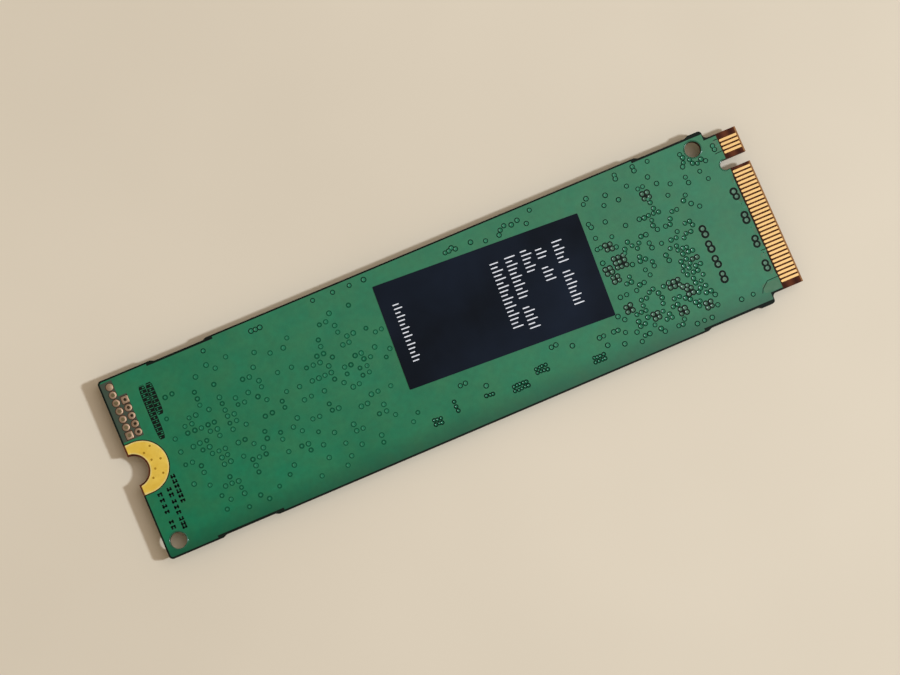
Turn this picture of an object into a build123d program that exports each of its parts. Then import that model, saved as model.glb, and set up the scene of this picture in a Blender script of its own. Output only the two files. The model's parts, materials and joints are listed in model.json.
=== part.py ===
from build123d import *
import os

# Solid-state drive on an M.2 2280 card with an M key: a bare circuit board with parts on one face.
# It lies component side down, as it rests by itself: z = 0 is the plane of the tall packages' tops,
# and the plain back of the board, with the label, faces up. x and y are zero at the middle of the
# board, and +X points to the card-edge contacts. All sizes are in millimetres.

# Circuit board
board_length = 80.0
board_width = 22.0
finished_thickness = 0.80  # over the contacts of both faces
copper_thickness = 0.035
mask_thickness = 0.030
copper_pullback = 0.20  # from a routed edge
mask_clearance = 0.06  # round an opening's copper or hole
round_sides = 10  # facets of a small round feature, kept few because it repeats
touching = 1e-4  # points closer than this are one place
screw_end_corner = 0.45
screw_tab_centre = 30.0  # break-off tab recesses by the screw end, from the middle of the board
tongue_tab_centre = 30.9  # and by the tongue
tab_floor = 6.0
tab_ramp = 0.45
tab_depth = 0.20
tooling_diameter = 1.90
tooling_inset = 1.72

# Screw end
notch_radius = 1.75
screw_pad_radius = 3.05
screw_pad_reach = 4.14  # from the screw end to the pad's far edge
header_pitch = 1.0
header_column_pitch = 1.10
header_inset = 1.15  # first column, from the screw end
header_low = 3.95  # first row, from the centreline
outer_header_rows = 7
inner_header_rows = 5
header_pad = 0.84
header_barrel = 0.45
header_bore = 0.32

# Card-edge tongue
tongue_length = 4.0
shoulder_step = 1.075
shoulder_corner = 0.40
tongue_root = 0.50  # inner corner between shoulder and tongue
root_share = 0.90  # most of the shoulder's straight part that the inner corner takes
bevel_length = 0.20
bevel_depth = 0.10
key_offset = 6.125
key_width = 1.20
key_depth = 3.50
contact_pitch = 0.50
contact_width = 0.35
contact_length = 2.25
contact_edge_land = 0.40  # least bare laminate between a contact and the tongue's side
contact_key_land = 0.20  # and between a contact and the key slot
contact_to_mask = 0.10

# Label
label_length = 25.4
label_width = 12.7
label_thickness = 0.08
label_x = 5.75
label_y = 1.91
label_turn = -2.9

# Ball-grid packages
package_height = 1.35  # controller and flash, over the front face
ball_height = 0.25
substrate_thickness = 0.25
ball_inset = 0.90  # first ball, from the package's side
ball_sides = 4  # facets of a flattened ball, kept few because hundreds repeat
pin_one_diameter = 0.80
pin_one_depth = 0.05
pin_one_inset = 1.20
controller_length = 13.0
controller_width = 13.0
controller_ball_pitch = 0.80
controller_ball = 0.42
dram_length = 13.0
dram_width = 8.0
dram_height = 1.00
dram_ball_pitch = 0.80
dram_ball = 0.42
flash_length = 14.0
flash_width = 18.0
flash_ball_pitch = 1.00
flash_ball = 0.50

# Power section
manager_size = 4.0
manager_height = 0.85
manager_leads = 6  # a side
manager_lead_pitch = 0.50
manager_lead_width = 0.26
manager_lead_length = 0.55
manager_lead_out = 0.15
lead_thickness = 0.12
inductor_count = 3
inductor_length = 2.5
inductor_width = 2.0
inductor_height = 1.00
inductor_foot = 0.55
inductor_plate = 0.10
inductor_upturn = 0.50  # height of a foot's turned-up end
inductor_edge = 0.15
switch_length = 1.6
switch_width = 1.2
switch_height = 0.60
switch_leads = 3  # a side
switch_lead_width = 0.22
switch_lead_out = 0.25
switch_lead_in = 0.30  # under the body

# Crystal
crystal_length = 2.5
crystal_width = 2.0
crystal_base = 0.35
crystal_lid = 0.25
crystal_rim = 0.15
crystal_lid_corner = 0.30

# Chip parts
small_length = 1.0
small_width = 0.5
small_height = 0.5
small_cap = 0.25  # length of a metal end cap
large_length = 1.6
large_width = 0.8
large_height = 0.8
large_cap = 0.40
resistor_height = 0.35
cap_step = 0.02  # a metal cap stands proud of its body

# Layout of the component side
coupling_strip = 5.0  # between the controller and the tongue's shoulder
edge_keepout = 1.30
part_gap = 0.70
chip_gap = 0.60  # between chip parts in a row
lane_count = 4
lane_pins = 6  # contact pitches from one data lane to the next
first_lane_pins = 5  # contact pitches from the centreline to the first lane
lane_pair = 0.75  # between the two lines of a lane

# Levels
front_face = package_height
laminate_low = front_face + mask_thickness
laminate_thickness = finished_thickness - 2 * copper_thickness
laminate_high = laminate_low + laminate_thickness
back_face = laminate_high + mask_thickness

# Places along and across the board
screw_end = -board_length / 2
finger_end = board_length / 2
shoulder = finger_end - tongue_length
half_width = board_width / 2
tongue_width = board_width - 2 * shoulder_step
contact_end = finger_end - bevel_length
contact_start = contact_end - contact_length
mask_end = contact_start - contact_to_mask
controller_x = shoulder - coupling_strip - controller_length / 2
controller_low = controller_x - controller_length / 2
screw_zone = screw_end + screw_pad_reach
package_gap = (controller_low - screw_zone - 2 * flash_length - dram_length) / 4
flash_2_x = screw_zone + package_gap + flash_length / 2
flash_1_x = flash_2_x + flash_length + package_gap
dram_x = controller_low - package_gap - dram_length / 2
dram_y = half_width - edge_keepout - dram_width / 2
inductor_y = edge_keepout - half_width + inductor_width / 2
manager_y = inductor_y + inductor_width / 2 + part_gap + manager_size / 2
manager_reach = manager_size / 2 + manager_lead_out
manager_top = manager_y + manager_reach
dram_low = dram_y - dram_width / 2
row_gap = (dram_low - manager_top - 2 * small_width) / 3  # round the two chip rows between them
crystal_y = -controller_width / 2 - part_gap - crystal_width / 2
switch_x = shoulder - edge_keepout - switch_width / 2
small_pitch = small_length + chip_gap
large_pitch = large_length + chip_gap


def film(outline, low, thickness):
    """A plan outline as a flat solid whose underside is at the level low."""
    return extrude(Pos(0, 0, low) * outline, thickness)


def below(outline, start, depth):
    """A solid under the board's front face: it starts that far below the face and is depth deep."""
    return film(outline, front_face - start - depth, depth)


def row(count, pitch):
    """Places of a row of count, centred on zero."""
    return [(i - (count - 1) / 2) * pitch for i in range(count)]


def fitting(length, pitch):
    """How many places of that pitch a length takes, ends included."""
    return int(length / pitch + touching) + 1


def small_round(diameter):
    """Outline of a small round feature."""
    return RegularPolygon(diameter / 2, round_sides)


def eased(length, width, corner):
    """A rectangle with its corners cut off."""
    return chamfer(Rectangle(length, width).vertices(), corner)


def group(pieces):
    """Separate solids of one node."""
    return Compound([solid for piece in pieces for solid in piece.solids()])


# Circuit board and its films


def board_plan():
    """The board seen from above: body, tongue, key slot, screw notch, tab recesses and holes."""
    body = Pos((screw_end + shoulder) / 2, 0) * Rectangle(shoulder - screw_end, board_width)
    body = fillet(body.vertices().group_by(Axis.X)[0], screw_end_corner)
    body = fillet(body.vertices().group_by(Axis.X)[-1], shoulder_corner)
    plan = body + Pos((shoulder + finger_end) / 2, 0) * Rectangle(tongue_length, tongue_width)
    at_shoulder = plan.vertices().filter_by_position(Axis.X, shoulder - touching, shoulder + touching)
    inner_corners = at_shoulder.sort_by(lambda corner: abs(corner.Y))[:2]
    plan = fillet(inner_corners, min(tongue_root, root_share * (shoulder_step - shoulder_corner)))
    plan -= Pos(finger_end, key_offset) * SlotOverall(2 * key_depth, key_width)
    plan -= Pos(screw_end, 0) * Circle(notch_radius)
    for centre in (-screw_tab_centre, tongue_tab_centre):
        for side in (-1, 1):
            plan -= tab_recess(centre, side)
    for place in tooling_places():
        plan -= place * Circle(tooling_diameter / 2)
    return plan


def tab_recess(centre, side):
    """Shallow recess with ramped ends in one long edge, where a break-off tab was."""
    floor = tab_floor / 2
    mouth = floor + tab_ramp
    edge = side * half_width
    inner = side * (half_width - tab_depth)
    corners = [(-mouth, edge), (-floor, inner), (floor, inner), (mouth, edge)]
    return make_face(Polyline(*[(centre + x, y) for x, y in corners], close=True))


def tooling_places():
    """Tooling holes in two opposite corners of the board's body."""
    y = half_width - tooling_inset
    return [Pos(shoulder - tooling_inset, y), Pos(screw_end + tooling_inset, -y)]


def laminate(plan):
    """The board's glass laminate, with its tongue bevelled on both faces."""
    tip = laminate_thickness / 2 - bevel_depth
    flat = laminate_thickness / 2
    middle = laminate_low + flat
    side = Polyline((screw_end, middle - flat), (contact_end, middle - flat), (finger_end, middle - tip),
                    (finger_end, middle + tip), (contact_end, middle + flat), (screw_end, middle + flat),
                    close=True)
    profile = extrude(Plane.XZ * make_face(side), half_width, both=True)
    board = film(plan, laminate_low, laminate_thickness) & profile
    for place, _, drilled in header_places():
        if drilled:
            board -= header_barrel_solid(place)
    return board


def screw_pad_plan(start, margin):
    """Outline round the screw notch, from start to a half-round far end, grown by margin."""
    radius = screw_pad_radius + margin
    centre = screw_zone - screw_pad_radius
    straight = Pos((start + centre) / 2, 0) * Rectangle(centre - start, 2 * radius)
    far_half = Pos(centre + radius / 2, 0) * Rectangle(radius, 2 * radius) & Pos(centre, 0) * Circle(radius)
    return straight + far_half


def header_places():
    """Pads of the service header: place, whether it is square, and whether it is drilled."""
    outer = screw_end + header_inset
    inner = outer + header_column_pitch
    outer_rows = [Pos(outer, header_low + level * header_pitch) for level in range(outer_header_rows)]
    inner_rows = [Pos(inner, header_low + level * header_pitch) for level in range(inner_header_rows)]
    pads = [(place, place is outer_rows[0], place is not outer_rows[-1]) for place in outer_rows]
    return pads + [(place, place is inner_rows[-1], True) for place in inner_rows]


def header_window(column, rows):
    """One column's opening in the mask: a strip that clears all of its pads."""
    width = header_pad + 2 * mask_clearance
    length = (rows - 1) * header_pitch + width
    x = screw_end + header_inset + column * header_column_pitch
    return Pos(x, header_low + (rows - 1) * header_pitch / 2) * Rectangle(width, length)


def header_barrel_solid(place):
    """Plated wall of a drilled header hole, through the laminate."""
    return film(place * small_round(header_barrel), laminate_low, laminate_thickness)


def header_eyelet(place, square, drilled):
    """Header pad. A drilled one is a plated hole: a pad on each face and a barrel between them."""
    pad = place * (Rectangle(header_pad, header_pad) if square else small_round(header_pad))
    back = film(pad, laminate_high, copper_thickness)
    if not drilled:
        return back
    front_low = laminate_low - copper_thickness
    bore = film(place * small_round(header_bore), front_low, finished_thickness)
    return back + header_barrel_solid(place) + film(pad, front_low, copper_thickness) - bore


def mask_plan(plan):
    """Outline of a solder-mask film: the board without the contact zone, open at pads and holes."""
    zone = finger_end - mask_end
    opened = plan - Pos(mask_end + zone / 2, 0) * Rectangle(zone, board_width)
    opened -= screw_pad_plan(screw_end, mask_clearance)
    for place in tooling_places():
        opened -= place * Circle(tooling_diameter / 2 + mask_clearance)
    opened -= header_window(0, outer_header_rows)
    return opened - header_window(1, inner_header_rows)


def contact_places(first):
    """Where one face's contacts lie across the tongue: whole pitches from first, clear of the key."""
    reach = tongue_width / 2 - contact_edge_land - contact_width / 2
    key_room = key_width / 2 + contact_key_land + contact_width / 2
    steps = int(tongue_width / contact_pitch)
    places = [first + i * contact_pitch for i in range(-steps, steps)]
    return [y for y in places if abs(y) <= reach and abs(y - key_offset) >= key_room]


def contacts(first, low):
    """A row of contacts on one face of the tongue."""
    middle = (contact_start + contact_end) / 2
    contact = Rectangle(contact_length, contact_width)
    return group(film(Pos(middle, y) * contact, low, copper_thickness) for y in contact_places(first))


def board_nodes():
    """The laminate, both mask films, the contacts, the screw pads and the service header."""
    plan = board_plan()
    screw_pad = screw_pad_plan(screw_end + copper_pullback, 0)
    screw_pad -= Pos(screw_end, 0) * Circle(notch_radius + copper_pullback)
    front_copper = laminate_low - copper_thickness
    return {
        "circuit_board": laminate(plan),
        "solder_mask_back": film(mask_plan(plan), laminate_high, mask_thickness),
        "solder_mask_front": film(mask_plan(plan), front_face, mask_thickness),
        "contacts_back": contacts(0, laminate_high),
        "contacts_front": contacts(contact_pitch / 2, front_copper),
        "screw_pad_back": film(screw_pad, laminate_high, copper_thickness),
        "screw_pad_front": film(screw_pad, front_copper, copper_thickness),
        "header_eyelets": group(header_eyelet(*pad) for pad in header_places()),
    }


def label():
    """Printed label on the board's back, stuck on a little askew."""
    plan = Pos(label_x, label_y) * Rot(0, 0, label_turn) * Rectangle(label_length, label_width)
    return film(plan, back_face, label_thickness)


# Ball-grid packages


def ball_ring(length, width, pitch):
    """Places of the outer ring of a package's ball grid."""
    columns = row(fitting(length - 2 * ball_inset, pitch), pitch)
    rows = row(fitting(width - 2 * ball_inset, pitch), pitch)
    outer_columns = (columns[0], columns[-1])
    outer_rows = (rows[0], rows[-1])
    return [(x, y) for x in columns for y in rows if x in outer_columns or y in outer_rows]


def package_nodes(name, place, length, width, height, pitch, ball):
    """A ball-grid package: balls on the board, a substrate on the balls and a moulded cap under it."""
    plan = place * Rectangle(length, width)
    mould_start = ball_height + substrate_thickness
    corner = place * Pos(length / 2 - pin_one_inset, width / 2 - pin_one_inset)
    mould = below(plan, mould_start, height - mould_start)
    mould -= below(corner * small_round(pin_one_diameter), height - pin_one_depth, pin_one_depth)
    ball_plan = RegularPolygon(ball / 2, ball_sides)
    balls = [below(place * Pos(x, y) * ball_plan, 0, ball_height) for x, y in ball_ring(length, width, pitch)]
    return {
        f"{name}_substrate": below(plan, ball_height, substrate_thickness),
        f"{name}_mould": mould,
        f"{name}_balls": group(balls),
    }


# Power section, crystal and chip parts


def leaded_nodes(name, place, length, width, height, leads):
    """A small moulded package that stands on flat leads."""
    body = below(place * Rectangle(length, width), lead_thickness, height - lead_thickness)
    return {f"{name}_body": body, f"{name}_leads": group(below(lead, 0, lead_thickness) for lead in leads)}


def manager_nodes():
    """Power manager: leads on four sides and a bare metal pad under the middle."""
    place = Pos(dram_x, manager_y)
    out = manager_reach - manager_lead_length / 2
    leads = [place * Rot(0, 0, turn) * Pos(out, y) * Rectangle(manager_lead_length, manager_lead_width)
             for turn in (0, 90, 180, 270) for y in row(manager_leads, manager_lead_pitch)]
    pad = manager_size - 2 * (manager_lead_length + manager_lead_width)
    leads.append(place * Rectangle(pad, pad))
    return leaded_nodes("power_manager", place, manager_size, manager_size, manager_height, leads)


def switch_nodes():
    """Load switch on the supply contacts, beside the key slot."""
    place = Pos(switch_x, key_offset) * Rot(0, 0, 90)
    lead_length = switch_lead_out + switch_lead_in
    out = switch_width / 2 + switch_lead_out - lead_length / 2
    leads = [place * Pos(x, side * out) * Rectangle(switch_lead_width, lead_length)
             for side in (-1, 1) for x in row(switch_leads, switch_length / switch_leads)]
    return leaded_nodes("load_switch", place, switch_length, switch_width, switch_height, leads)


def inductor_nodes():
    """Power inductors: moulded blocks, each on two metal feet that turn up its ends."""
    bodies = []
    feet = []
    block = eased(inductor_length - 2 * inductor_plate, inductor_width, inductor_edge)
    foot_width = inductor_width - 2 * inductor_edge
    foot_plan = Pos((inductor_length - inductor_foot) / 2, 0) * Rectangle(inductor_foot, foot_width)
    end_plan = Pos((inductor_length - inductor_plate) / 2, 0) * Rectangle(inductor_plate, foot_width)
    for x in row(inductor_count, inductor_length + 2 * part_gap):
        place = Pos(dram_x + x, inductor_y)
        bodies.append(below(place * block, inductor_plate, inductor_height - inductor_plate))
        for turn in (0, 180):
            end = place * Rot(0, 0, turn)
            turned_up = below(end * end_plan, inductor_plate, inductor_upturn)
            feet.append(below(end * foot_plan, 0, inductor_plate) + turned_up)
    return {"inductor_bodies": group(bodies), "inductor_feet": group(feet)}


def crystal_nodes():
    """Clock crystal beside the controller: a ceramic tray under a metal lid."""
    place = Pos(controller_x, crystal_y)
    lid = eased(crystal_length - 2 * crystal_rim, crystal_width - 2 * crystal_rim, crystal_lid_corner)
    return {
        "crystal_base": below(place * Rectangle(crystal_length, crystal_width), 0, crystal_base),
        "crystal_lid": below(place * lid, crystal_base, crystal_lid),
    }


def chip_nodes(name, places, length, width, height, cap):
    """Chip parts of one kind: bodies held between metal end caps that stand on the board."""
    body = Rectangle(length - 2 * cap, width - 2 * cap_step)
    bodies = [below(place * body, cap_step, height - 2 * cap_step) for place in places]
    caps = [below(place * Pos(side * (length - cap) / 2, 0) * Rectangle(cap, width), 0, height)
            for place in places for side in (-1, 1)]
    return {f"{name}_bodies": group(bodies), f"{name}_caps": group(caps)}


def across(x, y, count, pitch):
    """Places of chips end to end along X, centred on a point."""
    return [Pos(x + step, y) for step in row(count, pitch)]


def upright(x, y, count, pitch):
    """Places of chips end to end along Y, centred on a point."""
    return [Pos(x, y + step) * Rot(0, 0, 90) for step in row(count, pitch)]


def gap_column(x):
    """Chips up the gap beside a flash package, small and large in turn: the small, then the large."""
    pitch = (small_length + large_length) / 2 + chip_gap
    count = fitting(flash_width / 2 - small_length, pitch)
    return upright(x, 0, count, 2 * pitch), upright(x, 0, count - 1, 2 * pitch)


def coupling_places():
    """Coupling capacitors: two for each data lane, between the controller and the contacts."""
    x = shoulder - coupling_strip / 2
    lanes = [(first_lane_pins - lane * lane_pins) * contact_pitch for lane in range(lane_count)]
    return [Pos(x, lane + line) for lane in lanes for line in row(2, lane_pair)]


def decoupling_places():
    """Small capacitors: above the controller, below the memory and in the gaps beside the flash."""
    above = controller_width / 2 + part_gap + small_width / 2
    under = dram_low - row_gap - small_width / 2
    places = across(controller_x, above, fitting(controller_length - small_length, small_pitch), small_pitch)
    places += across(dram_x, under, fitting(dram_length - small_length, small_pitch), small_pitch)
    for flash_x in (flash_2_x, flash_1_x):
        places += gap_column(flash_x + (flash_length + package_gap) / 2)[0]
    return places


def bulk_places():
    """Large capacitors: beside the power manager and in the gap between the flash packages."""
    near = manager_reach + part_gap + large_width / 2
    far = near + large_width + part_gap
    places = gap_column((flash_2_x + flash_1_x) / 2)[1]
    for x in (-far, -near, near, far):
        places += upright(dram_x + x, manager_y, 2, large_pitch)
    return places


def resistor_places():
    """Small resistors: beside the crystal, above the power manager and beside the memory."""
    beside = crystal_length / 2 + part_gap + small_width / 2
    places = [Pos(controller_x + side * beside, crystal_y) * Rot(0, 0, 90) for side in (-1, 1)]
    above = manager_top + row_gap + small_width / 2
    places += across(dram_x, above, fitting(manager_size - small_length, small_pitch), small_pitch)
    room = fitting(dram_width - small_length, small_pitch)
    return places + upright(controller_low - package_gap / 2, dram_y, room, small_pitch)


def fuse_places():
    """Input fuse on the supply line, between the load switch and the data lanes."""
    return [Pos(switch_x, key_offset - switch_length / 2 - part_gap - large_width / 2)]


def drive_nodes():
    """Every piece of the drive, by name."""
    flash = (flash_length, flash_width, package_height, flash_ball_pitch, flash_ball)
    controller = (controller_length, controller_width, package_height, controller_ball_pitch, controller_ball)
    memory = (dram_length, dram_width, dram_height, dram_ball_pitch, dram_ball)
    small = (small_length, small_width, small_height, small_cap)
    large = (large_length, large_width, large_height, large_cap)
    nodes = board_nodes()
    nodes["label"] = label()
    nodes |= package_nodes("controller", Pos(controller_x, 0), *controller)
    nodes |= package_nodes("dram", Pos(dram_x, dram_y), *memory)
    nodes |= package_nodes("flash_1", Pos(flash_1_x, 0), *flash)
    nodes |= package_nodes("flash_2", Pos(flash_2_x, 0), *flash)
    nodes |= manager_nodes()
    nodes |= switch_nodes()
    nodes |= inductor_nodes()
    nodes |= crystal_nodes()
    nodes |= chip_nodes("coupling_capacitor", coupling_places(), *small)
    nodes |= chip_nodes("decoupling_capacitor", decoupling_places(), *small)
    nodes |= chip_nodes("bulk_capacitor", bulk_places(), *large)
    nodes |= chip_nodes("resistor", resistor_places(), small_length, small_width, resistor_height, small_cap)
    nodes |= chip_nodes("input_fuse", fuse_places(), *large)
    return nodes


os.makedirs("parts", exist_ok=True)
for node, shape in drive_nodes().items():
    export_step(shape, f"parts/{node}.step")
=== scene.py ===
import itertools
import json
import math
import random

import bmesh
import bpy
from mathutils import Euler, Matrix, Vector


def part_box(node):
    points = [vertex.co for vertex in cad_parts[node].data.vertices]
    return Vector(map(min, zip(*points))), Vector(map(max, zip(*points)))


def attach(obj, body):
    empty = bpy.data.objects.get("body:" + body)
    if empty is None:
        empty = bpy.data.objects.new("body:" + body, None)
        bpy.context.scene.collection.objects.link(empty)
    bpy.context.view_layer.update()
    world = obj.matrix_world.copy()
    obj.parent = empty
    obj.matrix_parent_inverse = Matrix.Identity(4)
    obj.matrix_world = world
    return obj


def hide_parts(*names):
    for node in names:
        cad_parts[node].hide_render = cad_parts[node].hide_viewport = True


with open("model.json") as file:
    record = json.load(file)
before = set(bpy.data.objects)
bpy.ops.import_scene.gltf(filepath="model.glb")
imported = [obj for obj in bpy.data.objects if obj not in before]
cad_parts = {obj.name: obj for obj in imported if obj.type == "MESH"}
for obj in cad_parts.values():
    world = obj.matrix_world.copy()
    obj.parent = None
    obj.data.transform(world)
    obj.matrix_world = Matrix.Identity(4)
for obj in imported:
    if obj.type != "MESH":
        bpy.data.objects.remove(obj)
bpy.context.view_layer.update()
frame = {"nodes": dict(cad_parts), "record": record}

# A bare solid-state drive lying component side down. Pieces are shaped in millimetres, as on a board's
# drawing, and brought to metres when they are done. Places on the board are given as on the drawing: x from
# the screw end towards the contacts, y up from the lower long edge.

MM = 0.001
ROOT = "root"
FACING = 0.9  # a normal or an edge that leans this far to Z counts as along it
MERGE = 1e-4  # corners this close are one corner
OVERRUN = 1.0  # how far a cutter runs past what it cuts
SMOOTH_ANGLE = math.radians(35)
EASE_ANGLE = math.radians(40)  # edges sharper than this are broken
FLAT_ANGLE = math.radians(1)


def box_mm(node):
    """Lowest and highest corner of a CAD node, in millimetres."""
    low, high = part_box(node)
    return low / MM, high / MM


# Levels and edges, from the frame
BOARD_LOW, BOARD_HIGH = box_mm("circuit_board")
BOARD_LENGTH = BOARD_HIGH.x - BOARD_LOW.x
BOARD_WIDTH = BOARD_HIGH.y - BOARD_LOW.y
BACK = box_mm("solder_mask_back")[1].z  # outer face of the mask on the plain back
FRONT = box_mm("solder_mask_front")[0].z  # and of the mask on the component side
MASK_END = box_mm("solder_mask_back")[1].x - BOARD_LOW.x
PAD_LOW, PAD_HIGH = box_mm("screw_pad_back")
PAD_RADIUS = (PAD_HIGH.y - PAD_LOW.y) / 2
PAD_REACH = PAD_HIGH.x - BOARD_LOW.x
LABEL_LOW, LABEL_HIGH = box_mm("label")
NOTCH_RADIUS = 1.75
NOTCH_GAP = 0.20  # bare laminate between the notch and the pad
# Painted highlight on the screw pad: a pale band just inside its outer rim and round its notch
HIGHLIGHT_INSET = 0.02
HIGHLIGHT_FADE = 0.18
HIGHLIGHT_SHARE = 0.6  # of the painted highlight's pale tone in the gold
NOTCH_HIGHLIGHT = NOTCH_RADIUS + NOTCH_GAP + HIGHLIGHT_INSET
NOTCH_HIGHLIGHT_FADE = 0.16
# Painted highlights, pale lines along the screw pad's outer rim and its notch: x of the centre, radius from
# and to
PAD_RIM_HIGHLIGHTS = (
    (PAD_REACH - PAD_RADIUS, PAD_RADIUS - HIGHLIGHT_INSET - HIGHLIGHT_FADE, PAD_RADIUS - HIGHLIGHT_INSET),
    (0.0, NOTCH_HIGHLIGHT + NOTCH_HIGHLIGHT_FADE, NOTCH_HIGHLIGHT),
)

# The mask deepens by EDGE_DEPTH over EDGE_FADE along the lower edge. Its gloss grows along GLOSS_WAY, from
# dull to full over GLOSS_REACH, counted from the board's middle.
EDGE_FADE = 2.8
EDGE_DEPTH = 0.62
GLOSS_WAY = (1.0, 1.6, 0.0)
GLOSS_REACH = (-57.0, 20.0)
DULL_GLOSS = 0.17
FULL_GLOSS = 0.47

# Glass cloth and plies of the laminate
CLOTH_PITCH = 0.5
PLY_PITCH = 0.2
WAVE_PITCHES = 10

# Copper layer under the mask
POUR_RISE = 0.006
POUR_CORNER = 0.3
EDGE_GAP = 0.20  # bare laminate along a routed edge
SHOULDER_GAP = 0.10
HOLE_GAP = 0.07
PAD_GAP = 0.12
TOOLING_RADIUS = 0.95
TOOLING_HOLES = ((74.28, 20.28), (1.72, 1.72))
SHOULDER = 76.0
SHOULDER_STEP = 1.075
# Beside the break-off tabs the copper stands back further from the long edges: x from and to
TAB_SETBACK = 0.46
TAB_SPANS = ((6.0, 14.15), (67.0, SHOULDER))
KEY_Y = 17.125
KEY_END = 76.5
KEY_RADIUS = 0.6
# Mask with no copper under it, round the header: x from and to, y from and to
HEADER_FIELDS = ((0.2, 1.65, 14.38, 21.65), (1.55, 2.7, 14.38, 19.6))
# Dull patches by the contacts, where the copper splits into fine tracks: x, y, length, width
TRACK_PATCHES = (
    (77.12, 13.1, 0.55, 1.5), (77.15, 10.2, 0.5, 0.8), (77.1, 7.1, 0.55, 0.9), (76.95, 5.6, 0.7, 0.7),
    (77.05, 4.0, 0.65, 1.5), (77.0, 19.6, 0.5, 1.3), (77.2, 15.2, 0.35, 0.9), (77.2, 8.7, 0.35, 1.0),
    (76.3, 1.95, 2.1, 1.15),
)
# Single tracks under the mask, each a run of points
TRACK_WIDTH = 0.13
RUN_OVERLAP = 0.6  # of a run's width, where its bars meet
TRACKS = (
    ((77.42, 12.1), (77.0, 12.15), (76.6, 12.75)), ((77.42, 11.6), (76.95, 11.7)),
    ((77.42, 9.1), (76.9, 9.2), (76.75, 9.6)), ((77.42, 6.1), (77.05, 5.9), (76.75, 5.45)),
    ((77.42, 5.6), (77.0, 5.5)), ((77.42, 3.6), (77.1, 3.2)), ((77.42, 15.1), (77.1, 14.6)),
    ((77.42, 19.6), (76.9, 19.5)),
)
# Hairline gaps between copper areas by the contacts, each a run of points
GAP_WIDTH = 0.09
GAP_LINES = (
    ((77.45, 2.72), (76.1, 2.70), (75.25, 2.02), (75.0, 1.55)),
    ((77.45, 6.2), (76.85, 6.25)),
    ((77.45, 18.8), (76.5, 18.75)),
    ((77.45, 20.3), (76.95, 20.3)),
    ((77.43, 15.7), (77.43, 11.8)),
    ((77.43, 11.2), (77.43, 6.6)),
    ((77.43, 5.9), (77.43, 3.0)),
)

# Seeds of the random draws
LEGEND_SEED = 11
FRONT_PLACE_SEED = 21
FRONT_VIA_SEED = 22
GRID_SEED = 31
CORE_SEED = 9

# Label print: plain strokes
LABEL_SIZE = (25.4, 12.7)
LABEL_CORNER = 0.12
LABEL_TURN = math.radians(-2.9)
INK = 0.004
STROKE = 0.135
STROKE_PITCH = 0.49
STROKE_SHARES = (1.0, 0.62, 1.0, 0.8, 0.62, 1.0, 0.75)
STROKE_CORNER = 0.15  # of a stroke's own length and width
GROUP_SPACE = 0.8
# Each line: place along the label from its middle, start across it, height, strokes in each group
PRINT_LINES = (
    (9.25, 4.1, 1.25, (6, 9)),
    (7.15, 3.9, 1.25, (3, 4)),
    (5.4, 4.3, 1.25, (6,)),
    (3.45, 4.2, 1.3, (11, 6)),
    (1.6, 4.1, 1.3, (17,)),
    (-10.75, 3.5, 1.0, (15,)),
)

# Etched legends: plain bars. A strip holds bars: x, width, y from and to.
LEGEND_STRIPS = ((4.5, 0.86, 13.1, 19.75), (5.38, 0.84, 15.8, 19.75))
LEGEND_PITCH = 0.47
# Openings in each pitch of a strip: a long one across it, and a short one that strays
LONG_OPENING = 0.07
LONG_SHARE = 0.86  # of the strip's width
LONG_OFFSET = 0.23
SHORT_OPENING = 0.14
SHORT_LENGTHS = (0.08, 0.3)
SHORT_STRAY = 0.22
# Loose marks, each of two legs and a bar across them: x of a column and every y in it
LEGEND_COLUMNS = (
    (1.75, (3.3, 3.95, 5.2, 5.9, 6.6, 7.3)),
    (2.95, (2.9, 3.35, 3.9, 4.65, 5.3, 6.0, 6.8, 7.5)),
    (3.9, (5.7, 6.3, 6.9, 7.5, 8.1, 8.7)),
)
MARK_LEGS = (-0.16, 0.18)
LEG_WIDTH = 0.2
LEG_LENGTHS = (0.34, 0.52)
MARK_BAR = (0.6, 0.17)
MARK_STRAY = 0.14
BAR_CORNER = 0.2  # of a bar's own length and width

# Contacts and the tongue's sanded end
CONTACT_ROUND = 0.46  # of a contact's width
CONTACT_FLANK = 0.03
CONTACT_DROP = 0.028
BEVEL_LENGTH = 0.20
BEVEL_DEPTH = 0.10
BEVEL_SKIN = 0.004
BEVEL_BITE = 0.03
BEVEL_INSET = 0.02

# Service header
HEADER_BARREL = 0.225
HEADER_BORE = 0.19
HEADER_GAP = 0.07  # bare laminate round a pad
HEADER_SLOPE = 0.09
HEADER_DROP = 0.7  # of a pad's thickness
SQUARE_CORNER = 0.12
FIELD_RISE = POUR_RISE * 1.2
PLUG_SPREAD = 0.235  # how far the plug has spread over its hole
PLUG_CAP = 0.008
PLUG_SHORT = 0.05  # how much shorter the plug is than its hole

# Rounded lip of mask along the routed holes and the key
LIP_WIDTH = 0.09
LIP_RISE = 0.045

# Probe pricks in the screw pad
PRICK_RADIUS = 0.14
PRICK_HEIGHT = 0.006
PRICK_SINK = 0.004
PRICK_RIM = 0.6  # of its radius
PRICK_DIMPLE = 0.001
PAD_DOTS = ((2.8, 12.95), (1.9, 12.45), (2.4, 11.4), (3.4, 11.15), (2.4, 10.3), (1.8, 9.4), (3.05, 9.5))

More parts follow.
